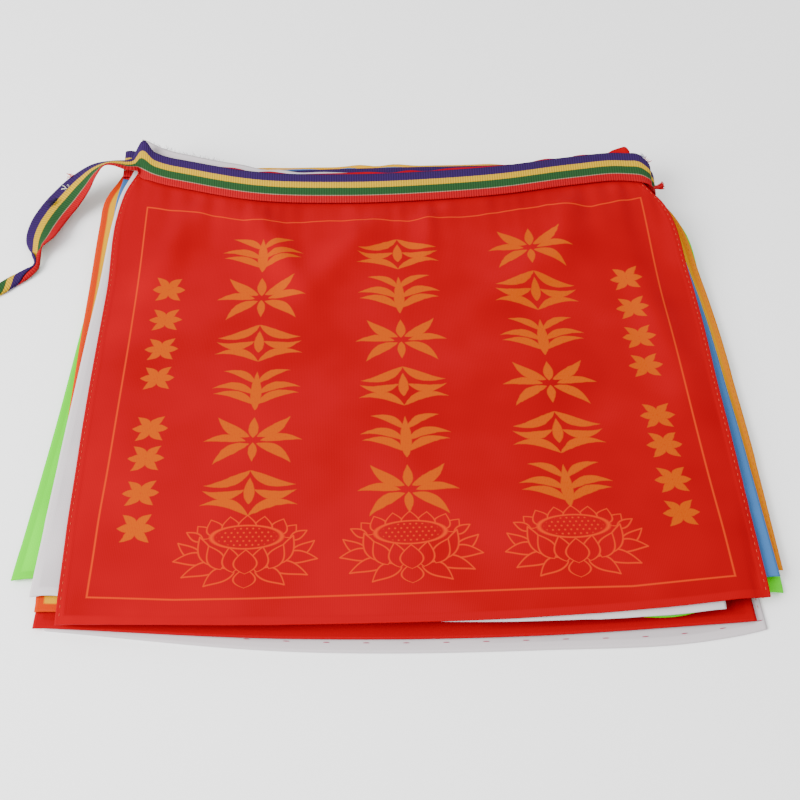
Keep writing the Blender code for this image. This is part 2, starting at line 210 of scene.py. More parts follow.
# The runs of the tape, from the top down: levels under it, its left and right turns, its shift
Run = namedtuple("Run", "level left right shift")
RUNS = (
    Run(13, -135.0, 131.5, (0.0, 0.0, 0.0)),
    Run(10, -144.0, 131.5, (1.5, 2.5, 1.0)),
    Run(9, -144.0, 134.5, (1.5, 11.0, 1.5)),
    Run(6, -141.0, 134.5, (0.5, 12.0, 1.0)),
    Run(5, -141.0, 135.5, (0.5, 11.0, 2.0)),
    Run(2, -139.0, 134.0, (1.0, 13.0, 1.5)),
    Run(1, -139.0, 141.0, (1.0, 12.0, 0.5)),
)

# The loose tie, from its cut end to the heading. Where curl is 1 it is rolled into a flat tube,
# and turn is where its red edge lies around that tube
Tie = namedtuple("Tie", "x y z roll wide thick curl turn")
TIE = (
    Tie(-221.0, 56.0, 1.3, 0.0, 8.0, 2.4, 1.0, 700.0),
    Tie(-213.5, 61.0, 1.3, 0.0, 8.0, 2.4, 1.0, 570.0),
    Tie(-206.5, 65.2, 1.3, 0.0, 8.0, 2.4, 1.0, 450.0),
    Tie(-199.6, 69.5, 1.3, 0.0, 8.0, 2.4, 1.0, 330.0),
    Tie(-195.0, 74.1, 1.3, 0.0, 8.0, 2.4, 1.0, 225.0),
    Tie(-190.2, 78.1, 1.4, 0.0, 7.5, 2.4, 1.0, 125.0),
    Tie(-186.6, 81.2, 1.8, 0.0, 6.0, 2.8, 1.0, 100.0),
    Tie(-184.2, 83.9, 2.2, -4.0, 4.0, 2.6, 1.0, 94.0),
    Tie(-183.8, 87.3, 2.7, -10.0, 3.0, 2.4, 1.0, 94.0),
    Tie(-184.5, 91.1, 3.4, -20.0, 5.2, 2.4, 0.8, 94.0),
    Tie(-184.7, 95.4, 4.4, -30.0, 11.0, 2.0, 0.3, 94.0),
    Tie(-184.4, 101.6, 4.9, -16.0, 16.0, 1.2, 0.0, 94.0),
    Tie(-182.9, 111.9, 5.3, -4.0, 18.0, 1.0, 0.0, 94.0),
    Tie(-179.5, 122.2, 5.9, 2.0, 18.0, 1.0, 0.0, 94.0),
    Tie(-173.9, 130.8, 8.2, 2.0, 18.0, 1.0, 0.0, 94.0),
    Tie(-167.0, 138.2, 12.1, -6.0, 18.0, 1.0, 0.0, 94.0),
    Tie(-159.3, 143.2, 16.7, -18.0, 17.0, 1.0, 0.0, 94.0),
    Tie(-151.5, 144.6, 19.8, -30.0, 13.0, 1.4, 0.0, 94.0),
    Tie(-146.0, 143.4, 20.4, -24.0, 10.5, 1.8, 0.0, 94.0),
    Tie(-141.0, 142.3, 20.2, -8.0, 10.5, 1.7, 0.0, 94.0),
    Tie(-137.2, 143.4, 20.0, 0.0, 12.5, 1.4, 0.0, 94.0),
)

# Loose fibres: their bend for a length of 1, where they grow, how close, how long, which way
FIBRE_ARC = {"Start": (0, 0, 0), "Middle": (0.25, 0, 0.6), "End": (-0.1, 0.05, 1.0)}
FIBRE_RADIUS, SHORTEST_FIBRE = 0.055, 0.35
Fray = namedtuple("Fray", "name colour path step long way spread")
FRAYS = (
    Fray("white_head", (0.70, 0.68, 0.70), ((-134.0, 163.0, 18.2), (-112.0, 151.6, 18.2),
                                            (-92.0, 145.6, 18.2)), 0.5, 3.0, (0.1, 0.5, 0.1), 0.6),
    Fray("blue_tip", (0.03, 0.008, 0.16), ((131.5, 141.0, 20.8), (134.5, 139.0, 20.0)),
         0.25, 2.5, (0.8, 0.5, 0.0), 0.5),
    Fray("rose_tip", (0.50, 0.10, 0.14), ((133.0, 139.0, 20.0), (136.0, 136.5, 19.0)),
         0.3, 3.6, (1.0, 0.3, 0.0), 0.5),
    Fray("red_tail", (0.36, 0.003, 0.008), ((137.0, 119.5, 15.5), (138.0, 121.5, 15.5)),
         0.04, 6.0, (1.0, 0.25, -0.1), 0.35),
    Fray("red_on_tie", (0.55, 0.03, 0.01), ((-174.0, 143.4, 11.2), (-172.0, 144.8, 12.2)),
         0.3, 3.6, (-0.6, 0.3, 0.3), 0.7),
    Fray("white_on_tie", (0.7, 0.7, 0.6), ((-175.6, 134.6, 9.8), (-173.4, 137.0, 10.8)),
         0.5, 3.6, (-0.4, 0.4, 0.2), 0.8),
    Fray("black_on_tie", (0.01, 0.01, 0.015), ((-181.6, 126.4, 8.4), (-178.0, 129.4, 9.2)),
         0.28, 3.8, (-0.5, -0.4, 0.1), 0.7),
)

# The tape's woven stripes across it from the red edge: where each begins, and its colour
Stripe = namedtuple("Stripe", "start colour")
STRIPES = (
    Stripe(0.0, (0.30, 0.0, 0.004)),
    Stripe(0.24, (0.20, 0.17, 0.12)),
    Stripe(0.262, (0.013, 0.055, 0.015)),
    Stripe(0.52, (0.45, 0.27, 0.004)),
    Stripe(0.72, (0.022, 0.007, 0.06)),
)

# The generic leaf ornaments of the print, on half a mirrored cell: root, way, length, width, bend
Leaf = namedtuple("Leaf", "kind x y way long wide bend")
LEAVES = (
    Leaf(0, 0.0, -11.0, 90.0, 21.0, 2.3, 0.0),
    Leaf(0, 0.5, -8.0, 20.0, 18.0, 2.0, 2.6),
    Leaf(0, 0.5, -2.5, 12.0, 18.0, 2.0, 3.0),
    Leaf(0, 0.5, 3.5, 28.0, 15.0, 1.8, 2.0),
    Leaf(1, 0.0, 10.5, -22.0, 19.0, 2.2, -2.2),
    Leaf(1, 2.0, 1.0, 0.0, 16.0, 2.0, -2.6),
    Leaf(1, 0.0, -10.5, 14.0, 19.0, 2.0, 3.4),
    Leaf(1, 0.0, -5.5, 90.0, 12.5, 2.1, 0.0),
    Leaf(2, 1.5, 1.5, 38.0, 16.5, 2.4, -1.4),
    Leaf(2, 3.0, -0.5, 0.0, 16.5, 1.9, 1.6),
    Leaf(2, 1.5, -2.0, -36.0, 17.0, 2.3, 1.8),
    Leaf(2, 0.0, 1.0, 90.0, 10.5, 2.0, 0.0),
    Leaf(2, 0.0, -1.5, -90.0, 9.5, 1.7, 0.0),
)
SPRIG = (
    Leaf(0, 0.3, -0.6, 52.0, 9.2, 2.0, 0.9),
    Leaf(0, 0.8, -0.4, 4.0, 7.0, 1.6, 0.6),
)
# The outlined lotus on half of a mirrored flower: petals before the seed head, then those behind
PETALS = (
    Leaf(0, 0.0, -10.4, 90.0, 11.0, 4.7, 0.0),
    Leaf(0, 0.0, -16.8, 90.0, 9.0, 4.4, 0.0),
    Leaf(0, 4.8, -9.6, 80.0, 11.6, 3.6, 0.0),
    Leaf(0, 9.6, -8.2, 63.0, 12.2, 3.4, 0.0),
    Leaf(0, 14.4, -6.0, 70.0, 13.6, 2.7, 0.0),
    Leaf(1, 4.2, -9.6, -28.0, 13.4, 3.2, 1.6),
    Leaf(1, 8.6, -7.6, -14.0, 17.0, 3.0, 1.6),
    Leaf(1, 13.6, -4.4, 0.0, 15.4, 2.9, 1.2),
    Leaf(1, 17.0, -2.6, 32.0, 12.6, 2.5, -0.8),
    Leaf(1, 17.6, 5.0, 30.0, 8.0, 1.8, 0.0),
    Leaf(1, 0.0, 7.6, 90.0, 9.0, 3.8, 0.0),
    Leaf(1, 6.2, 7.6, 84.0, 8.4, 3.7, 0.0),
    Leaf(1, 11.8, 7.0, 68.0, 8.2, 3.4, 0.0),
    Leaf(1, 15.2, 6.2, 48.0, 7.4, 2.8, 0.0),
)
COLUMN_STEP, ROW_STEP, FIRST_ROW, LAST_ROW = 67.0, 28.8, 79.0, 5
COLUMN_REACH, ROW_REACH = 1.4, 0.4
LOTUS_Y = -93.0
SPRIG_X = 112.6
SPRIG_ROWS = (57.0, 38.0, 19.0, 1.0, -28.6, -45.0, -64.0, -82.0)


# The lay of the cloth


def smooth(places, values, at):
    """The height at a place of the smooth curve through a table's values."""
    places, values = np.array(places, float), np.array(values, float)
    slopes = np.gradient(values, places)
    at = np.clip(at, places[0], places[-1])
    k = np.clip(np.searchsorted(places, at) - 1, 0, len(places) - 2)
    width = places[k + 1] - places[k]
    t = (at - places[k]) / width
    return (
        values[k] * (1 + 2 * t) * (1 - t) ** 2
        + values[k + 1] * t * t * (3 - 2 * t)
        + width * (slopes[k] * t * (1 - t) ** 2 - slopes[k + 1] * t * t * (1 - t))
    )


def eased(low, high, at):
    """0 at low, 1 at high and a soft step between them."""
    t = np.clip((at - low) / (high - low), 0, 1)
    return t * t * (3 - 2 * t)


def tape_edge(x):
    """The lower edge of the top run of tape."""
    return smooth(TAPE_X, TAPE_Y, x)


def resting_height(heading, body, x, y):
    """The underside of a layer with this many layers under it in the heading and in the body."""
    held = 1 - eased(0, RAMP, tape_edge(x) - y)
    fan = np.clip((y - tape_edge(x)) / TAPE_WIDTH, 0, 2.0) * FAN * heading / HEADING_LEVELS
    return PITCH * (body + (heading - body) * held) + fan


def head_edge(flag, x):
    """The head edge of a flag, which lies under its tape."""
    return tape_edge(x) + TAPE_WIDTH + smooth(HEADING_X, flag.head_over, x)


def covers(flag, x, y, margin):
    """Where a flag covers the plan."""
    left = smooth(SIDE_Y, flag.left, y) - margin
    right = smooth(SIDE_Y, flag.right, y) + margin
    foot = smooth(FOOT_X, flag.foot, x) - margin
    return (x > left) & (x < right) & (y > foot) & (y < head_edge(flag, x) + margin)


def bent_down(field):
    """A height field with each of its steps turned into a cloth's soft bend."""
    for axis in (0, 1):
        spread = field.copy()
        for k in range(1, int(DROOP_REACH / FIELD_STEP) + 1):
            fall = DROOP * (k * FIELD_STEP) ** 2
            near, far = [slice(None)] * 2, [slice(None)] * 2
            near[axis], far[axis] = slice(k, None), slice(None, -k)
            near, far = tuple(near), tuple(far)
            spread[near] = np.maximum(spread[near], field[far] - fall)
            spread[far] = np.maximum(spread[far], field[near] - fall)
        field = spread
    return field


def lay_down():
    """The height of each flag's underside over the plan, laid from the lowest flag up."""
    xs = np.arange(-FIELD_HALF[0], FIELD_HALF[0] + 1, FIELD_STEP)
    ys = np.arange(-FIELD_HALF[1], FIELD_HALF[1] + 1, FIELD_STEP)
    x, y = np.meshgrid(xs, ys, indexing="ij")
    laid, fields = [], {}
    for flag in reversed(FLAGS):
        ideal = resting_height(flag.heading, flag.body, x, y)
        support = np.zeros_like(x)
        for depth, (below, under) in enumerate(reversed(laid)):
            step = PITCH
            if depth == 0:
                step = ideal - resting_height(below.heading, below.body, x, y)
            inside = covers(below, x, y, SUPPORT_MARGIN)
            support = np.where(inside, np.maximum(support, under + step), support)
        height = ideal + bent_down(support - ideal)
        laid.append((flag, height))
        fields[flag.name] = height
    return xs, ys, fields


def read_field(xs, ys, field, x, y):
    """The height at a place, between the four nearest places of the field."""
    fx = np.clip((x - xs[0]) / FIELD_STEP, 0, len(xs) - 1.001)
    fy = np.clip((y - ys[0]) / FIELD_STEP, 0, len(ys) - 1.001)
    i, j = fx.astype(int), fy.astype(int)
    a, b = fx - i, fy - j
    return (
        field[i, j] * (1 - a) * (1 - b)
        + field[i + 1, j] * a * (1 - b)
        + field[i, j + 1] * (1 - a) * b
        + field[i + 1, j + 1] * a * b
    )


def softened(z, times):
    """A grid of heights with its small kinks smoothed out, its rim kept."""
    for _ in range(times):
        inner = (z[:-2, 1:-1] + z[2:, 1:-1] + z[1:-1, :-2] + z[1:-1, 2:]) / 4
        z = z.copy()
        z[1:-1, 1:-1] = (z[1:-1, 1:-1] + inner) / 2
    return z


def creased(x, y):
    """The height that the top flag's ridges add."""
    added = np.zeros_like(x)
    for c in CREASES:
        turn = radians(c.turn)
        along = (x - c.x) * cos(turn) + (y - c.y) * sin(turn)
        across = (y - c.y) * cos(turn) - (x - c.x) * sin(turn)
        added += c.high * np.exp(-((along / c.long) ** 2) - (across / c.wide) ** 2)
    return CREASE_CLEARANCE + added * RELIEF * np.clip((tape_edge(x) - y) / CREASE_FADE, 0, 1)


def gathered(x, y):
    """The small upright folds under the tape, and the slow swell of the satin below them."""
    below = tape_edge(x) - y
    folds = sum(g.high * np.sin(x / g.pace + g.sway * np.sin(x / g.drift + g.phase)
                                + below * g.lean) for g in GATHERS)
    held = np.exp(-np.clip(below, 0, None) / GATHER_REACH) * eased(*GATHER_BAND, below)
    placed = GATHER_LEAST + GATHER_MORE * np.sin(x / GATHER_PACE + GATHER_PHASE) ** 2
    swell = SWELL * np.sin(x / 27.0 + y / 41.0) * np.sin(y / 33.0 - x / 60.0 + 0.7)
    return folds * held * placed + swell * eased(*SWELL_BAND, below)


def steps_from_edge(grid, wide):
    """Places from 0 to 1 across a width, close together over both hems and even between."""
    rim = np.arange(grid.hem_columns) * grid.hem_step
    between = max(1, round((wide - 2 * rim[-1]) / grid.plain_step))
    inner = np.linspace(rim[-1], wide - rim[-1], between + 1)
    return np.concatenate((rim[:-1], inner, wide - rim[:-1][::-1])) / wide


# Meshes


def thick_sheet(name, middle, normal, above, below, uv, finish):
    """A closed sheet on a grid of middle points, with its thickness to both sides and its UVs."""
    rows, columns = middle.shape[:2]
    top = (middle + normal * above[..., None]).reshape(-1, 3)
    bottom = (middle - normal * below[..., None]).reshape(-1, 3)
    index = np.arange(rows * columns).reshape(rows, columns)
    a, b, c, d = index[:-1, :-1], index[1:, :-1], index[1:, 1:], index[:-1, 1:]
    upper = np.stack((a, b, c, d), -1).reshape(-1, 4)
    lower = np.stack((d, c, b, a), -1).reshape(-1, 4) + rows * columns
    ring = np.concatenate((index[:, 0], index[-1, 1:], index[-2::-1, -1], index[0, -2:0:-1]))
    after = np.roll(ring, -1)
    rim = np.stack((ring, ring + rows * columns, after + rows * columns, after), -1)
    faces = np.concatenate((upper, lower, rim))
    mesh = bpy.data.meshes.new(name)
    mesh.from_pydata((np.concatenate((top, bottom)) * MM).tolist(), [], faces.tolist())
    layer = mesh.uv_layers.new(name="cloth")
    flat = np.concatenate((uv.reshape(-1, 2),) * 2)
    layer.data.foreach_set("uv", flat[faces.ravel()].ravel())
    mesh.polygons.foreach_set("use_smooth", np.ones(len(faces), bool))
    mesh.materials.append(finish)
    mesh.validate()
    return linked(name, mesh)


def linked(name, data):
    """A mesh or curve as an object in the scene."""
    made = bpy.data.objects.new(name, data)
    bpy.context.scene.collection.objects.link(made)
    return made


class FlagShape:
    """A flag's fine grid: its plan, its heights and where a point of the cloth was when flat."""

    def __init__(self, flag, fields, fine):
        self.flag = flag
        grid = FINE_GRID if fine else PLAIN_GRID
        across = steps_from_edge(grid, GRID_WIDE)[:, None]
        up = steps_from_edge(grid, GRID_DEEP)[None, :]
        x = np.repeat(np.interp(across, (0, 1), (FOOT_X[0], FOOT_X[-1])), up.shape[1], axis=1)
        for _ in range(PLAN_PASSES):
            foot, head = smooth(FOOT_X, flag.foot, x), head_edge(flag, x)
            y = foot * (1 - up) + head * up
            left, right = smooth(SIDE_Y, flag.left, y), smooth(SIDE_Y, flag.right, y)
            x = left * (1 - across) + right * across
        xs, ys, heights = fields
        z = read_field(xs, ys, heights[flag.name], x, y) + CLOTH / 2
        z = softened(z, grid.softenings)
        near_head = eased(HEAD_REACH, 0.0, head - y)
        sway = HEAD_SWAY * np.sin(x / HEAD_DRIFT + flag.heading)
        y = y + near_head * HEAD_WAVE * np.sin(x / HEAD_PACE + sway)
        if fine:
            z = z + creased(x, y) + gathered(x, y)
            lean = FOLD.least + FOLD.more * np.clip((x - FOLD.x) / FOLD.wide, -1, 1)
            fold = near_head * lean * np.exp(-(((x - FOLD.x) / FOLD.wide) ** 6))
            y, z = y + fold * FOLD.out, z + fold * FOLD.high
        self.x, self.y, self.z = x, y, z
        self.from_side = np.minimum(x - left, right - x)
        self.from_foot = y - foot

    def flat_uv(self):
        """The cloth's flat coordinates, with the printed frame true, from 0 to 1 over 300 mm."""
        line = np.interp(self.x, LINE_X, LINE_Y)
        slack = np.clip((self.y - PRINT_SLACK_FROM) / (line - PRINT_SLACK_FROM), 0, None)
        y = np.where(self.y > PRINT_SLACK_FROM,
                     PRINT_SLACK_FROM + slack * (PRINT_TOP - PRINT_SLACK_FROM), self.y)
        lower = np.interp(self.x, LOWER_LINE_X, LOWER_LINE_Y)
        y = np.where(y < -PRINT_SLACK_FROM, -PRINT_SLACK_FROM + (y + PRINT_SLACK_FROM)
                     * (PRINT_FOOT + PRINT_SLACK_FROM) / (lower + PRINT_SLACK_FROM), y)
        return np.stack((self.x, y), -1) / SHEET_SPAN + 0.5

    def side_path(self, side, inset):
        """Points on the cloth's face at an inset from its left or right edge, foot to head."""
        points = []
        for j in range(self.x.shape[1]):
            edge = self.x[0, j] + inset if side < 0 else self.x[-1, j] - inset
            z = np.interp(edge, self.x[:, j], self.z[:, j])
            y = np.interp(edge, self.x[:, j], self.y[:, j])
            points.append((edge, y, z + THREAD_LIFT))
        return points

    def foot_path(self, inset):
        """Points on the cloth's face at an inset from its foot edge, left to right."""
        points = []
        for i in range(self.x.shape[0]):
            edge = self.y[i, 0] + inset
            z = np.interp(edge, self.y[i], self.z[i])
            x = np.interp(edge, self.y[i], self.x[i])
            points.append((x, edge, z + THREAD_LIFT))
        return points

    def build(self, finish):
        """The flag as one closed sheet, thicker over its turned hems and drawn in by stitches."""
        middle = np.stack((self.x, self.y, self.z), -1)
        normal = np.zeros_like(middle)
        normal[..., 2] = 1.0
        from_edge = np.minimum(self.from_side, self.from_foot)
        turned = HEM_STEP * (1 - eased(HEM_WIDTH - HEM_SOFT, HEM_WIDTH + HEM_SOFT, from_edge))
        drawn = STITCH_DRAW * np.exp(-(((from_edge - STITCH_INSET) / STITCH_WIDE) ** 2))
        above = SATIN / 2 + turned - drawn
        below = np.full_like(above, SATIN / 2)
        made = thick_sheet(self.flag.name + "_satin", middle, normal, above, below,
                           self.flat_uv(), finish)
        hem = made.data.attributes.new("hem", "FLOAT", "POINT")
        hem.data.foreach_set("value", np.tile(from_edge.ravel(), 2))
        return made


Section = namedtuple("Section", "red blue face thick curl turn")


def run_section(run, x, up):
    """The tape's two edges at one place along a run, and the way its face looks."""
    edges = []
    for across in (0.0, TAPE_WIDTH):
        y = tape_edge(x) + smooth(HEADING_X, run.shift, x) + across
        z = resting_height(run.level, run.level, x, y) + CLOTH / 2
        if run.level == HEADING_LEVELS:
            curl = np.clip((run.left + LEFT_END - x) / LEFT_END, 0, 1) ** 2
            z = z + 2 * CREASE_CLEARANCE + LEFT_LIFT * curl * across / TAPE_WIDTH
        edges.append(Vector((x, y, float(z))))
    return Section(*edges, Vector((0, 0, up)), CLOTH, 0.0, TIE[-1].turn)


def turn_sections(upper, lower, x, side):
    """A half turn between two runs, to the right for a side of 1 and to the left for -1."""
    high, low = run_section(upper, x, side), run_section(lower, x, side)
    stretch = RIGHT_TURN_STRETCH if side > 0 else 1.0
    sections = []
    for k in range(1, TURN_STEPS):
        angle = radians(90 - 180 * k / TURN_STEPS)
        out = Vector((side * cos(angle), 0, sin(angle)))
        face = Vector((out.x / stretch, 0, out.z)).normalized() * side
        edges = []
        for top, under, dip in ((high.red, low.red, RED_DIP), (high.blue, low.blue, BLUE_DIP)):
            radius = (top.z - under.z) / 2
            swing = Vector((out.x * radius * stretch, (top.y - under.y) / 2 * out.z,
                            out.z * radius))
            drop = Vector((0, *dip)) * max(0.0, out.x)
            edges.append((top + under) / 2 + swing - drop)
        sections.append(Section(*edges, face, CLOTH, 0.0, TIE[-1].turn))
    return sections


def tie_sections():
    """The loose tie's sections, from its cut end to the heading."""
    middles = [Vector((t.x, t.y, t.z)) for t in TIE]
    sections = []
    for k, tie in enumerate(TIE):
        ahead = (middles[min(k + 1, len(TIE) - 1)] - middles[max(k - 1, 0)]).normalized()
        level = Vector((0, 0, 1)).cross(ahead).normalized()
        roll = radians(tie.roll)
        across = level * cos(roll) + ahead.cross(level) * sin(roll)
        face = ahead.cross(across)
        half = across * (tie.wide / 2)
        lowest = tie.z - abs(half.z) - abs(face.z) * tie.thick / 2
        middle = middles[k] + Vector((0, 0, max(0.0, TIE_CLEARANCE - lowest)))
        sections.append(Section(middle - half, middle + half, face, tie.thick, tie.curl, tie.turn))
    return sections


def tape_sections():
    """Every section of the one tape, from the tie's cut end to the end under the stack."""
    sections = tie_sections()
    for k, run in enumerate(RUNS):
        rightward = k % 2 == 0
        up = 1 if rightward else -1
        stations = np.linspace(run.left, run.right, RUN_STATIONS)
        for x in stations if rightward else stations[::-1]:
            sections.append(run_section(run, float(x), up))
        if k + 1 < len(RUNS):
            side = 1 if rightward else -1
            turn_at = run.right if rightward else run.left
            sections += turn_sections(run, RUNS[k + 1], turn_at, side)
    return sections


def tape_grid():
    """The tape's middle points and face directions on a fine grid, and its length so far."""
    rows = np.array([[*s.red, *s.blue, *s.face, s.thick, s.curl, s.turn] for s in tape_sections()])
    centre = (rows[:, :3] + rows[:, 3:6]) / 2
    gaps = np.maximum(np.linalg.norm(np.diff(centre, axis=0), axis=1), LEAST_GAP)
    places = np.concatenate(([0.0], np.cumsum(gaps)))
    fine = [np.linspace(a, b, max(2, round((b - a) / TAPE_STEP) + 1))[:-1]
            for a, b in zip(places, places[1:])]
    at = np.concatenate((*fine, [places[-1]]))
    rows = np.stack([smooth(places, rows[:, k], at) for k in range(rows.shape[1])], -1)
    red, blue, face = rows[:, None, :3], rows[:, None, 3:6], rows[:, None, 6:9]
    thick, curl, turn = (rows[:, None, k : k + 1] for k in (9, 10, 11))
    face = face / np.linalg.norm(face, axis=-1, keepdims=True)
    across = np.linspace(0, 1, TAPE_COLUMNS)[None, :, None]
    pleat = np.clip(thick - CLOTH, 0, None) * PLEAT_SHARE * np.sin(across * PLEATS * pi)
    flat = red + (blue - red) * across + face * pleat
    angle = np.radians(turn) + across * 2 * pi * TUBE_SHARE
    tube = ((red + blue) / 2 + (blue - red) * TUBE_WIDE * np.cos(angle)
            + face * (thick - WEBBING) / 2 * np.sin(angle))
    share = eased(0, 1, curl)
    middle = flat * (1 - share) + tube * share
    normal = np.cross(np.gradient(middle, axis=0), np.gradient(middle, axis=1))
    normal = normal + face * NUDGE
    return middle, normal / np.linalg.norm(normal, axis=-1, keepdims=True), at


# Shading: numbers in a node tree that take part in Python's sums


class Value:
    """A number that a node gives."""

    def __init__(self, graph, socket):
        self.graph, self.socket = graph, socket

    def __add__(self, other):
        return self.graph.math("ADD", self, other)

    def __sub__(self, other):
        return self.graph.math("SUBTRACT", self, other)

    def __mul__(self, other):
        return self.graph.math("MULTIPLY", self, other)

    def __truediv__(self, other):
        return self.graph.math("DIVIDE", self, other)

    def __rsub__(self, other):
        return self.graph.math("SUBTRACT", other, self)

    def __abs__(self):
        return self.graph.math("ABSOLUTE", self)

    __radd__, __rmul__ = __add__, __mul__


class Graph:
    """Builds the nodes of one material or geometry tree."""

    def __init__(self, tree):
        self.tree = tree

    def add(self, kind, settings=None, inputs=None):
        """A node: its type, its settings first, then its sockets."""
        node = self.tree.nodes.new(kind)
        for name, value in (settings or {}).items():
            setattr(node, name, value)
        for key, value in (inputs or {}).items():
            self.feed(node.inputs[key], value)
        return node

    def feed(self, socket, value):
        """A constant, a Value or another node's socket into a socket."""
        value = value.socket if isinstance(value, Value) else value
        if isinstance(value, bpy.types.NodeSocket):
            self.tree.links.new(value, socket)
        else:
            socket.default_value = value

    def math(self, operation, *values):
        node = self.add("ShaderNodeMath", {"operation": operation}, dict(enumerate(values)))
        return Value(self, node.outputs[0])

    def between(self, value, low, high, start=0.0, end=1.0):
        """A value's place between two limits, held to its range."""
        node = self.add("ShaderNodeMapRange", None,
                        {0: value, 1: low, 2: high, 3: start, 4: end})
        return Value(self, node.outputs[0])

    def largest(self, values):
        found = values[0]
        for value in values[1:]:
            found = self.math("MAXIMUM", found, value)
        return found

    def blend(self, factor, below, above):
        """A colour mixed over another by a factor."""
        node = self.add("ShaderNodeMix", {"data_type": "RGBA"}, {0: factor, 6: below, 7: above})
        return node.outputs[2]

    def vector(self, x, y, z=0.0):
        return self.add("ShaderNodeCombineXYZ", None, {0: x, 1: y, 2: z}).outputs[0]

    def noise(self, vector, scale, detail=2.0):
        node = self.add("ShaderNodeTexNoise", None,
                        {"Vector": vector, "Scale": scale, "Detail": detail})
        return Value(self, node.outputs["Fac"])


def cloth_graph(name, roughness, gloss, gloss_tint):
    """A new cloth material: its graph, its shader and its flat coordinates."""
    made = bpy.data.materials.new(name)
    made.use_nodes = True
    graph = Graph(made.node_tree)
    shader = made.node_tree.nodes["Principled BSDF"]
    shader.inputs["Roughness"].default_value = roughness
    shader.inputs["Specular IOR Level"].default_value = gloss
    shader.inputs["Specular Tint"].default_value = gloss_tint
    place = graph.add("ShaderNodeUVMap", {"uv_map": "cloth"})
    parts = graph.add("ShaderNodeSeparateXYZ", None, {0: place.outputs[0]})
    return made, graph, shader, Value(graph, parts.outputs[0]), Value(graph, parts.outputs[1])


def press(graph, shader, bump, height):
    """Presses a relief into a cloth's face, from its strength and its depth in millimetres."""
    strength, deep = bump
    relief = graph.add("ShaderNodeBump", None,
                       {"Strength": strength, "Distance": deep * MM, "Height": height})
    graph.feed(shader.inputs["Normal"], relief.outputs[0])


def leaf_depth(graph, leaf, x, y):
    """How deep in a tapered, curved leaf a place lies, in millimetres, negative outside it."""
    turn = radians(leaf.way)
    dx, dy = x - leaf.x, y - leaf.y
    reach = (dx * cos(turn) + dy * sin(turn)) / leaf.long
    along = graph.between(reach, 0.0, 1.0)
    beyond = abs(reach - along) * leaf.long
    across = dy * cos(turn) - dx * sin(turn)
    arch = along * (1 - along) * 4.0
    swell = graph.math("SINE", graph.math("POWER", along, 0.8) * pi)
    return swell * leaf.wide - abs(across - arch * leaf.bend) - beyond


def filled(graph, depth):
    """1 inside a printed shape and 0 outside it, with an edge as soft as ink on cloth."""
    return graph.between(depth, -INK_EDGE, INK_EDGE)


def lotus(graph, x, y):
    """The outlines of a lotus, each petal hiding what lies behind it, and its dotted seed head."""
    middle, half_wide, half_high = SEED_HEAD
    round_x, round_y = x / half_wide, (y - middle) / half_high
    ring = graph.math("SQRT", round_x * round_x + round_y * round_y)
    head = (1 - ring) * half_high
    row = y / SEED_STEP[1]
    shift = graph.math("FLOORED_MODULO", graph.math("FLOOR", row), 2.0) * 0.5
    dot_x = (graph.math("FRACT", x / SEED_STEP[0] + shift) - 0.5) * SEED_STEP[0]
    dot_y = (graph.math("FRACT", row) - 0.5) * SEED_STEP[1]
    dot = SEED_DOT - graph.math("SQRT", dot_x * dot_x + dot_y * dot_y)
    dots = filled(graph, dot) * filled(graph, head - SEED_RIM)
    shapes = [(leaf_depth(graph, petal, x, y), petal.kind) for petal in PETALS]
    order = [depth for depth, kind in shapes if kind == 0] + [head]
    order += [depth for depth, kind in shapes if kind == 1]
    outline, hidden = filled(graph, PETAL_LINE / 2 - abs(order[0])), filled(graph, order[0])
    for depth in order[1:]:
        line = filled(graph, PETAL_LINE / 2 - abs(depth))
        if depth is head:
            line = graph.math("MAXIMUM", line, dots)
        outline = graph.math("MAXIMUM", outline, line * (1 - hidden))
        hidden = graph.math("MAXIMUM", hidden, filled(graph, depth))
    return outline


def print_mask(graph, x, y, inked_x, inked_y):
    """The top flag's print: frame, rows of leaf ornaments, sprigs at the sides and lotuses."""
    from_frame = graph.largest((
        abs(x) - PRINT_SIDE,
        abs(y - (PRINT_TOP + PRINT_FOOT) / 2) - (PRINT_TOP - PRINT_FOOT) / 2,
    ))
    frame_line = filled(graph, FRAME_LINE / 2 - abs(from_frame))

    reach = (-COLUMN_REACH, COLUMN_REACH)
    column = graph.math("ROUND", graph.between(x / COLUMN_STEP, *reach, *reach))
    local_x = abs(inked_x - column * COLUMN_STEP)
    reach = (-ROW_REACH, LAST_ROW + ROW_REACH)
    row = graph.math("ROUND", graph.between((FIRST_ROW - y) / ROW_STEP, *reach, *reach))
    local_y = inked_y - (FIRST_ROW - row * ROW_STEP)
    kind = graph.math("FLOORED_MODULO", column + row * 2.0 + 1.0, 3.0)
    ornaments = []
    for number in range(3):
        shapes = [leaf_depth(graph, leaf, local_x / ORNAMENT_SCALE, local_y / ORNAMENT_SCALE)
                  for leaf in LEAVES if leaf.kind == number]
        chosen = graph.math("COMPARE", kind, float(number), 0.5)
        ornaments.append(filled(graph, graph.largest(shapes)) * chosen)

    nearest = abs(inked_y - SPRIG_ROWS[0])
    for middle in SPRIG_ROWS[1:]:
        nearest = graph.math("MINIMUM", nearest, abs(inked_y - middle))
    side = abs(abs(inked_x) - SPRIG_X)
    sprig = filled(graph, graph.largest([leaf_depth(graph, leaf, side, nearest)
                                         for leaf in SPRIG]))
    flower = lotus(graph, abs(x - column * COLUMN_STEP), y - LOTUS_Y)
    return graph.largest((*ornaments, sprig)), graph.largest((frame_line, flower))


def dimmed(colour, share):
    """A colour with its light cut to a share."""
    return tuple(c * share for c in colour[:3]) + (1.0,)


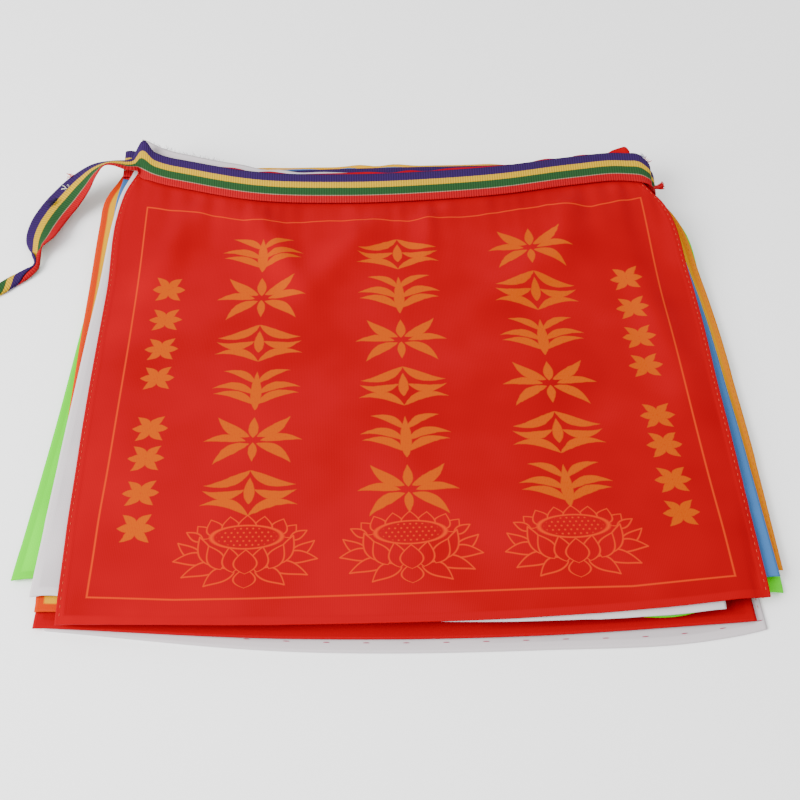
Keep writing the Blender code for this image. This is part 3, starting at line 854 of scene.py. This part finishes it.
def satin(name, colour, hem_colour, printed=False):
    """Satin cloth with its darker or deeper turned hems, and the print where it has one."""
    strongest = max(colour[:3])
    tint = tuple(GLOSS_WHITE + GLOSS_COLOUR * c / strongest for c in colour[:3]) + (1.0,)
    made, graph, shader, u, v = cloth_graph(name, SATIN_ROUGHNESS, SATIN_GLOSS, tint)
    x, y = (u - 0.5) * SHEET_SPAN, (v - 0.5) * SHEET_SPAN
    hem = Value(graph, graph.add("ShaderNodeAttribute", {"attribute_name": "hem"}).outputs["Fac"])
    place = graph.vector(x, y)
    tone = graph.noise(place, TONE_SCALE)
    deep = dimmed(colour, DEEP_TONE)
    base = graph.blend(graph.between(tone, *TONE_RANGE), colour, deep)
    between = tuple((a + b) / 2 for a, b in zip(colour, hem_colour))
    turned = graph.blend(graph.between(x, -HEM_BLEND, HEM_BLEND), hem_colour, between)
    base = graph.blend(graph.between(hem, HEM_WIDTH + HEM_BLUR, HEM_WIDTH - HEM_BLUR), base, turned)
    if printed:
        wobble = graph.noise(place, INK_SCALE) - 0.5
        solid, line = print_mask(graph, x, y, x + wobble * INK_WOBBLE, y - wobble * INK_WOBBLE)
        worn = graph.between(graph.noise(place, WORN_SCALE), *WORN)
        base = graph.blend(solid * worn, base, PRINT_COLOUR)
        base = graph.blend(line * LINE_COVER, base, LINE_COLOUR)
    graph.feed(shader.inputs["Base Color"], base)
    weave = graph.math("SINE", x * (2 * pi / WEAVE_PITCH)) * WEAVE_HEIGHT
    grain = graph.noise(graph.vector(x * GRAIN_ACROSS, y * GRAIN_UP), 1.0, 1.0)
    press(graph, shader, SATIN_BUMP, weave + grain)
    return made


def striped_weave(name):
    """The tape's ribbed weave with its lengthwise stripes."""
    made, graph, shader, u, v = cloth_graph(name, TAPE_ROUGHNESS, TAPE_GLOSS, (1.0,) * 4)
    along = u * TAPE_SPAN
    place = graph.vector(along, v * TAPE_WIDTH)
    edge = v + (graph.noise(place, STRIPE_SCALE) - 0.5) * STRIPE_WOBBLE
    base = (*STRIPES[0].colour, 1.0)
    for stripe in STRIPES[1:]:
        over = graph.between(edge, stripe.start - STRIPE_BLUR, stripe.start + STRIPE_BLUR)
        base = graph.blend(over, base, (*stripe.colour, 1.0))
    ribs = graph.math("SINE", along * (2 * pi / RIB_PITCH))
    shade = graph.between(ribs + graph.noise(place, RIB_NOISE_SCALE) * RIB_NOISE, *RIB_SHADE)
    ribbed = graph.add("ShaderNodeMix", {"data_type": "RGBA", "blend_type": "MULTIPLY"},
                       {0: 1.0, 6: base, 7: graph.vector(shade, shade, shade)})
    graph.feed(shader.inputs["Base Color"], ribbed.outputs[2])
    press(graph, shader, TAPE_BUMP, ribs)
    return made


def plain_finish(name, colour):
    """A matt finish in one colour, for the threads and the floor."""
    made = bpy.data.materials.new(name)
    made.use_nodes = True
    shader = made.node_tree.nodes["Principled BSDF"]
    shader.inputs["Base Color"].default_value = colour
    shader.inputs["Roughness"].default_value = PLAIN_ROUGHNESS
    shader.inputs["Specular IOR Level"].default_value = PLAIN_GLOSS
    return made


# Stitches and fibres by geometry nodes


def new_tree(name, sizes):
    """A geometry tree with a geometry input and output and a named input for each size."""
    tree = bpy.data.node_groups.new(name, "GeometryNodeTree")
    tree.interface.new_socket("Geometry", in_out="OUTPUT", socket_type="NodeSocketGeometry")
    tree.interface.new_socket("Geometry", in_out="INPUT", socket_type="NodeSocketGeometry")
    for label, kind, value in sizes:
        socket = tree.interface.new_socket(label, in_out="INPUT", socket_type=kind)
        if value is not None:
            socket.default_value = value
    graph = Graph(tree)
    given = graph.add("NodeGroupInput").outputs
    return graph, given


def finish_tree(graph, instances, finish):
    """Ends a tree in plain geometry with its material."""
    whole = graph.add("GeometryNodeRealizeInstances", None, {0: instances})
    painted = graph.add("GeometryNodeSetMaterial", None,
                        {"Geometry": whole.outputs[0], "Material": finish})
    graph.add("NodeGroupOutput", None, {0: painted.outputs[0]})


def stitch_tree():
    """Stitches laid along a curve: a rounded thread, one for each step of the curve."""
    graph, given = new_tree("stitches", (
        ("Step", "NodeSocketFloat", 9 * MM),
        ("Length", "NodeSocketFloat", 2 * MM),
        ("Thread", "NodeSocketFloat", 0.3 * MM),
        ("Finish", "NodeSocketMaterial", None),
    ))
    steps = graph.add("GeometryNodeResampleCurve", {"mode": "LENGTH"},
                      {"Curve": given["Geometry"], "Length": given["Step"]})
    bead = graph.add("GeometryNodeMeshUVSphere", None, {"Segments": 8, "Rings": 6, "Radius": 0.5})
    along = graph.add("GeometryNodeInputTangent")
    turn = graph.add("FunctionNodeAlignRotationToVector", {"axis": "X"},
                     {"Vector": along.outputs[0]})
    size = graph.vector(given["Length"], given["Thread"], given["Thread"])
    laid = graph.add("GeometryNodeInstanceOnPoints", None,
                     {"Points": steps.outputs[0], "Instance": bead.outputs[0],
                      "Rotation": turn.outputs[0], "Scale": size})
    finish_tree(graph, laid.outputs[0], given["Finish"])
    return graph.tree


def fibre_tree():
    """Loose fibres along a curve, each bent and turned its own way by the tree's seed."""
    graph, given = new_tree("fibres", (
        ("Step", "NodeSocketFloat", 0.4 * MM),
        ("Length", "NodeSocketFloat", 4 * MM),
        ("Spread", "NodeSocketFloat", 0.5),
        ("Way", "NodeSocketVector", (0.0, 1.0, 0.0)),
        ("Seed", "NodeSocketInt", 1),
        ("Finish", "NodeSocketMaterial", None),
    ))
    steps = graph.add("GeometryNodeResampleCurve", {"mode": "LENGTH"},
                      {"Curve": given["Geometry"], "Length": given["Step"]})
    arc = graph.add("GeometryNodeCurveQuadraticBezier", None,
                    {"Resolution": 5, **FIBRE_ARC})
    side = graph.add("GeometryNodeCurvePrimitiveCircle", None,
                     {"Resolution": 3, "Radius": FIBRE_RADIUS})
    tube = graph.add("GeometryNodeCurveToMesh", None,
                     {"Curve": arc.outputs[0], "Profile Curve": side.outputs[0],
                      "Fill Caps": True})
    spin = graph.add("FunctionNodeRandomValue", {"data_type": "FLOAT_VECTOR"},
                     {0: (-1.0, -1.0, -1.0), 1: (1.0, 1.0, 1.0), "Seed": given["Seed"]})
    spread = graph.add("ShaderNodeVectorMath", {"operation": "SCALE"},
                       {0: spin.outputs[0], "Scale": given["Spread"]})
    way = graph.add("ShaderNodeVectorMath", {"operation": "ADD"},
                    {0: spread.outputs[0], 1: given["Way"]})
    turn = graph.add("FunctionNodeAlignRotationToVector", {"axis": "Z"},
                     {"Vector": way.outputs[0]})
    reach = graph.add("FunctionNodeRandomValue", {"data_type": "FLOAT"},
                      {2: SHORTEST_FIBRE, 3: 1.0, "Seed": given["Seed"]})
    long = Value(graph, reach.outputs[1]) * Value(graph, given["Length"])
    size = graph.vector(long, long, long)
    laid = graph.add("GeometryNodeInstanceOnPoints", None,
                     {"Points": steps.outputs[0], "Instance": tube.outputs[0],
                      "Rotation": turn.outputs[0], "Scale": size})
    finish_tree(graph, laid.outputs[0], given["Finish"])
    return graph.tree


def grown(name, tree, paths, values):
    """What a tree makes along some paths, in millimetres, as one plain mesh object."""
    curve = bpy.data.curves.new(name + "_path", "CURVE")
    curve.dimensions = "3D"
    for path in paths:
        spline = curve.splines.new("POLY")
        spline.points.add(len(path) - 1)
        for point, place in zip(spline.points, path):
            point.co = (*(c * MM for c in place), 1.0)
    carrier = linked(name + "_carrier", curve)
    modifier = carrier.modifiers.new("grow", "NODES")
    modifier.node_group = tree
    for item in tree.interface.items_tree:
        if item.item_type == "SOCKET" and item.in_out == "INPUT" and item.name in values:
            modifier[item.identifier] = values[item.name]
    depsgraph = bpy.context.evaluated_depsgraph_get()
    mesh = bpy.data.meshes.new_from_object(carrier.evaluated_get(depsgraph))
    bpy.data.objects.remove(carrier)
    mesh.name = name
    mesh.polygons.foreach_set("use_smooth", np.ones(len(mesh.polygons), bool))
    return linked(name, mesh)


# Settings, operators and the panel


def satin_colour(name, default):
    """A setting that holds the colour of a cloth."""
    return FloatVectorProperty(name=name, description=name + " satin", size=4, subtype="COLOR",
                               min=0, max=1, default=(*default, 1.0))


def thread_size(name, description, default):
    """A setting that holds a size of the sewing, given here in millimetres."""
    return FloatProperty(name=name, description=description, subtype="DISTANCE",
                         default=default * MM)


class FlagSettings(bpy.types.PropertyGroup):
    """The sizes and colours that a user may change."""

    red: satin_colour("Red", (0.305, 0.0, 0.0045))
    # White satin, greyed and pinked in its colour: painted shade and a painted red glow from the
    # top flag over the white strips, on both white flags
    white: satin_colour("White", (0.50, 0.455, 0.47))
    blue: satin_colour("Blue", (0.05, 0.15, 0.36))
    yellow: satin_colour("Yellow", (0.60, 0.29, 0.0))
    yellow_hem: satin_colour("Yellow hem", (0.44, 0.028, 0.0))
    green: satin_colour("Green", (0.085, 0.64, 0.004))
    stitch_step: thread_size("Stitch step", "From one hem stitch to the next", 3.4)
    stitch_length: thread_size("Stitch length", "Length of a hem stitch", 1.6)
    foot_step: thread_size("Foot stitch step", "Step of the foot stitches", 15.4)
    foot_length: thread_size("Foot stitch length", "Length of a foot stitch", 2.8)
    seed: IntProperty(name="Fibre seed", description="How the loose fibres fall", default=4)
    key: FloatProperty(name="Key light", description="Power of the large soft light",
                       subtype="POWER", unit="POWER", default=34.0)


class FlagMaker:
    """What the operators share."""

    bl_options = {"REGISTER", "UNDO"}

    def settings(self, context):
        return context.scene.prayer_flags


class MakeFlags(FlagMaker, bpy.types.Operator):
    """Lay the seven satin flags"""

    bl_idname = "prayer.make_flags"
    bl_label = "Satin flags"

    def execute(self, context):
        chosen = self.settings(context)
        tones = {
            "red": (tuple(chosen.red), dimmed(chosen.red, RED_HEM)),
            "white": (tuple(chosen.white), tuple(chosen.white)),
            "blue": (tuple(chosen.blue), dimmed(chosen.blue, DARK_HEM)),
            "yellow": (tuple(chosen.yellow), tuple(chosen.yellow_hem)),
            "green": (tuple(chosen.green), dimmed(chosen.green, DARK_HEM)),
        }
        fields = lay_down()
        for flag in FLAGS:
            shape = FlagShape(flag, fields, flag is TOP)
            SHAPES[flag.name] = shape
            colour = flag.name.split("_")[-1]
            finish = satin("satin_" + flag.name, *tones[colour], printed=flag is TOP)
            made = shape.build(finish)
            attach(made, BODY)
            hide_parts(flag.name)
        return {"FINISHED"}


class MakeTape(FlagMaker, bpy.types.Operator):
    """Lay the striped tape with its loose tie"""

    bl_idname = "prayer.make_tape"
    bl_label = "Striped tape"

    def execute(self, context):
        middle, face, at = tape_grid()
        uv = np.stack(np.broadcast_arrays(
            (at / TAPE_SPAN)[:, None], np.linspace(0, 1, TAPE_COLUMNS)[None, :]), -1)
        half = np.full(middle.shape[:2], WEBBING / 2)
        made = thick_sheet("striped_tape", middle, face, half, half, uv,
                           striped_weave("ribbed_stripes"))
        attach(made, BODY)
        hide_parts("heading_tape")
        return {"FINISHED"}


class MakeStitches(FlagMaker, bpy.types.Operator):
    """Sew the hems"""

    bl_idname = "prayer.make_stitches"
    bl_label = "Hem stitches"

    def execute(self, context):
        chosen = self.settings(context)
        if not SHAPES:
            raise RuntimeError("the flags are laid before their hems are sewn")
        tree = stitch_tree()
        gold = plain_finish("thread_gold", GOLD_THREAD)
        rose = plain_finish("thread_rose", ROSE_THREAD)
        small = {"Step": chosen.stitch_step, "Length": chosen.stitch_length,
                 "Thread": HEM_THREAD * MM}
        large = {"Step": chosen.foot_step, "Length": chosen.foot_length,
                 "Thread": FOOT_THREAD * MM}
        for flag in STITCHED:
            shape = SHAPES[flag.name]
            sides = [shape.side_path(side, STITCH_INSET)[HEM_SEWN] for side in (-1, 1)]
            made = grown(flag.name + "_stitches", tree, sides, {**small, "Finish": gold})
            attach(made, BODY)
        foot = SHAPES[LOWEST.name].foot_path(FOOT_STITCH_INSET)[FOOT_SEWN]
        made = grown("foot_stitches", tree, [foot], {**large, "Finish": rose})
        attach(made, BODY)
        return {"FINISHED"}


class MakeFrays(FlagMaker, bpy.types.Operator):
    """Loosen the cut edges and the stray threads"""

    bl_idname = "prayer.make_frays"
    bl_label = "Frayed ends"

    def execute(self, context):
        chosen = self.settings(context)
        if not SHAPES:
            raise RuntimeError("the flags are laid before their edges fray")
        tree = fibre_tree()
        for number, fray in enumerate(FRAYS):
            finish = plain_finish("fray_" + fray.name, (*fray.colour, 1.0))
            values = {"Step": fray.step * MM, "Length": fray.long * MM, "Way": fray.way,
                      "Spread": fray.spread, "Seed": chosen.seed + number, "Finish": finish}
            made = grown("fray_" + fray.name, tree, [fray.path], values)
            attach(made, BODY)
        return {"FINISHED"}


class MakeStage(FlagMaker, bpy.types.Operator):
    """Set the floor, the light and the camera"""

    bl_idname = "prayer.make_stage"
    bl_label = "Stage"

    def execute(self, context):
        floor_mesh = bpy.data.meshes.new("floor")
        r = FLOOR_HALF
        floor_mesh.from_pydata([(-r, -r, 0), (r, -r, 0), (r, r, 0), (-r, r, 0)], [],
                               [(0, 1, 2, 3)])
        floor = linked("floor", floor_mesh)
        floor.data.materials.append(plain_finish("pale_floor", FLOOR_COLOUR))
        world = bpy.data.worlds.new("studio")
        world.use_nodes = True
        world.node_tree.nodes["Background"].inputs["Color"].default_value = (1, 1, 1, 1)
        world.node_tree.nodes["Background"].inputs["Strength"].default_value = SKY_LIGHT
        context.scene.world = world
        lamp = bpy.data.lights.new("key", "AREA")
        lamp.shape, lamp.size, lamp.energy = "DISK", KEY_SIZE, self.settings(context).key
        key = linked("key", lamp)
        key.location = KEY_PLACE
        aim = Vector((0, 0, 0)) - key.location
        key.rotation_euler = aim.to_track_quat("-Z", "Y").to_euler()
        lens = bpy.data.cameras.new("photo_view")
        lens.sensor_width, lens.lens = SENSOR, SENSOR * CAMERA_FOCAL / PHOTO_SIDE
        camera = linked("photo_view", lens)
        camera.location = CAMERA_PLACE
        camera.rotation_mode = "XYZ"
        ahead = Vector((-sin(CAMERA_YAW) * cos(CAMERA_DOWN), cos(CAMERA_YAW) * cos(CAMERA_DOWN),
                        -sin(CAMERA_DOWN)))
        right = Vector((cos(CAMERA_YAW), sin(CAMERA_YAW), 0))
        up = right.cross(ahead)
        turned = right * cos(CAMERA_ROLL) + up * sin(CAMERA_ROLL)
        upright = turned.cross(ahead)
        camera.rotation_euler = Matrix((turned, upright, -ahead)).transposed().to_euler()
        context.scene.camera = camera
        return {"FINISHED"}


class FlagPanel(bpy.types.Panel):
    """Lists the pieces and their sizes"""

    bl_idname = "VIEW3D_PT_prayer_flags"
    bl_label = "Prayer flags"
    bl_space_type = "VIEW_3D"
    bl_region_type = "UI"
    bl_category = "Prayer flags"

    def draw(self, context):
        for name in FlagSettings.__annotations__:
            self.layout.prop(context.scene.prayer_flags, name)
        for maker in MAKERS:
            self.layout.operator(maker.bl_idname)


MAKERS = (MakeFlags, MakeTape, MakeStitches, MakeFrays, MakeStage)


def register():
    for kind in (FlagSettings, *MAKERS, FlagPanel):
        bpy.utils.register_class(kind)
    bpy.types.Scene.prayer_flags = PointerProperty(type=FlagSettings)


def unregister():
    del bpy.types.Scene.prayer_flags
    for kind in (FlagPanel, *reversed(MAKERS), FlagSettings):
        bpy.utils.unregister_class(kind)


def main():
    register()
    bpy.ops.prayer.make_flags()
    bpy.ops.prayer.make_tape()
    bpy.ops.prayer.make_stitches()
    bpy.ops.prayer.make_frays()
    bpy.ops.prayer.make_stage()
    bpy.context.view_layer.update()


if __name__ == "__main__":
    main()
